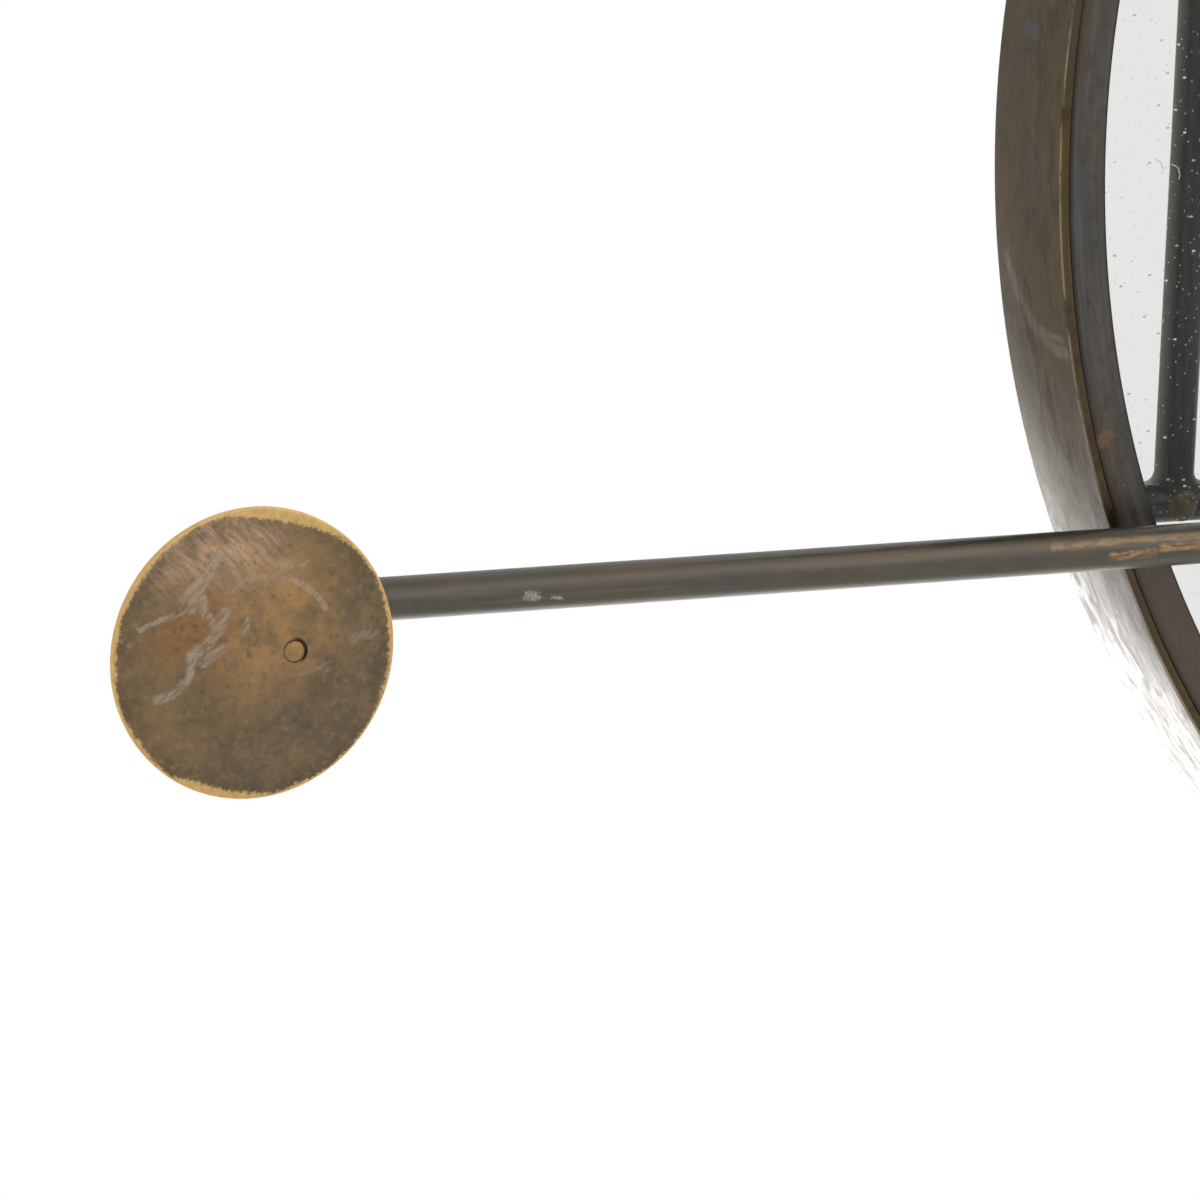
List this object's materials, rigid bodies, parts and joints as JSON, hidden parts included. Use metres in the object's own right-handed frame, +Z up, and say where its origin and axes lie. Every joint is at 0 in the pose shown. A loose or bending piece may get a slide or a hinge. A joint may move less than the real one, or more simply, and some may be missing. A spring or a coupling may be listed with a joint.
{
  "type": "pendulum wall clock",
  "caption": "Round hoop wall clock with a mirror dial, quartz hands and a twin-rod frame pendulum that swings in front of the dial with a brass disc on each rod.",
  "frame": {"origin": "centre of the hanger bar's keyhole, on its face against the wall", "axes": "+Z up, +Y into the wall, so the dial faces -Y, +X to the right as seen from the front"},
  "size_m": [0.5079, 0.0558, 0.7384],
  "materials": {
    "hoop_bronze": "aged bronze patina on steel band, satin, worn",
    "ring_steel": "dark patinated steel, satin, with rust",
    "mirror": "silvered glass, polished, a little dusty",
    "backing_board": "pressed board, matt",
    "zinc_steel": "zinc plated steel, satin",
    "black_plastic": "moulded black plastic, matt",
    "white_plastic": "moulded acetal, semi-gloss",
    "brass": "turned brass, satin",
    "aged_brass": "aged brown brass with a bright worn rim, satin",
    "copper_wire": "enamelled copper winding, semi-gloss",
    "board_green": "circuit board, semi-gloss",
    "chip_black": "epoxy blob, gloss",
    "cell_jacket": "plain dry cell jacket, semi-gloss",
    "gasket_rubber": "rubber, matt",
    "hand_bronze": "dark bronze, satin",
    "rod_bronze": "dark bronze patina on steel rod, satin",
    "nickel": "nickel plated, polished"
  },
  "bodies": {
    "root": {"hoop_band": "hoop_bronze", "bezel_ring": "ring_steel", "mirror_dial": "mirror", "backing_plate": "backing_board", "retaining_tabs": "zinc_steel", "hanger_bar": "zinc_steel", "hour_markers": "brass", "movement_case": "black_plastic", "movement_cover": "black_plastic", "battery": "cell_jacket", "contact_positive": "zinc_steel", "contact_negative": "zinc_steel", "circuit_board": "board_green", "control_chip": "chip_black", "quartz_crystal": "nickel", "coil_bobbin": "white_plastic", "motor_coil": "copper_wire", "motor_stator": "zinc_steel", "mounting_bushing": "brass", "bushing_washer": "brass", "bushing_nut": "brass", "dial_gasket": "gasket_rubber", "suspension_post": "rod_bronze", "post_nut": "zinc_steel", "pivot_cap": "brass", "drive_case": "black_plastic", "drive_cover": "black_plastic", "drive_coil": "copper_wire", "drive_battery": "cell_jacket", "drive_screws": "zinc_steel"},
    "minute": {"minute_arbor": "zinc_steel", "minute_hand": "hand_bronze", "hand_nut": "brass", "centre_wheel": "brass", "cannon_pinion": "brass", "set_knob": "white_plastic"},
    "hour": {"hour_pipe": "brass", "hour_hand": "hand_bronze", "hour_wheel": "white_plastic"},
    "motion": {"motion_wheel": "white_plastic", "motion_pinion": "white_plastic"},
    "third": {"third_arbor": "zinc_steel", "third_wheel": "brass", "third_pinion": "brass"},
    "rotor": {"rotor_magnet": "nickel", "rotor_pinion": "white_plastic"},
    "pendulum": {"rod_left": "rod_bronze", "rod_right": "rod_bronze", "crossbar_upper": "rod_bronze", "crossbar_lower": "rod_bronze", "pendulum_hub": "rod_bronze", "hub_bushing": "brass", "disc_left": "aged_brass", "disc_right": "aged_brass", "disc_tabs": "rod_bronze", "disc_rivets": "aged_brass", "crossbar_rivets": "aged_brass", "magnet_tail": "rod_bronze", "drive_magnet": "nickel"}
  },
  "joints": [
    {"name": "pendulum_swing", "type": "hinge", "parent": "root", "child": "pendulum", "pos_m": [0, -0.045, 0.04499], "axis": [0, 1, 0], "range_deg": [-6, 6]},
    {"name": "minute_spin", "type": "hinge", "parent": "root", "child": "minute", "pos_m": [0, -0.02, -0.125], "axis": [0, 1, 0], "continuous": true},
    {"name": "hour_spin", "type": "hinge", "parent": "root", "child": "hour", "pos_m": [0, -0.025, -0.125], "axis": [0, 1, 0], "continuous": true},
    {"name": "motion_spin", "type": "hinge", "parent": "root", "child": "motion", "pos_m": [0.00923, -0.016, -0.12235], "axis": [0, 1, 0], "continuous": true},
    {"name": "third_spin", "type": "hinge", "parent": "root", "child": "third", "pos_m": [-0.01247, -0.012, -0.1178], "axis": [0, 1, 0], "continuous": true},
    {"name": "rotor_spin", "type": "hinge", "parent": "root", "child": "rotor", "pos_m": [-0.00635, -0.008, -0.10719], "axis": [0, 1, 0], "continuous": true}
  ],
  "couplings": [
    {"joint": "hour_spin", "follows": "minute_spin", "ratio": 0.083333},
    {"joint": "motion_spin", "follows": "minute_spin", "ratio": -0.33333},
    {"joint": "third_spin", "follows": "minute_spin", "ratio": -5},
    {"joint": "rotor_spin", "follows": "minute_spin", "ratio": 30}
  ]
}
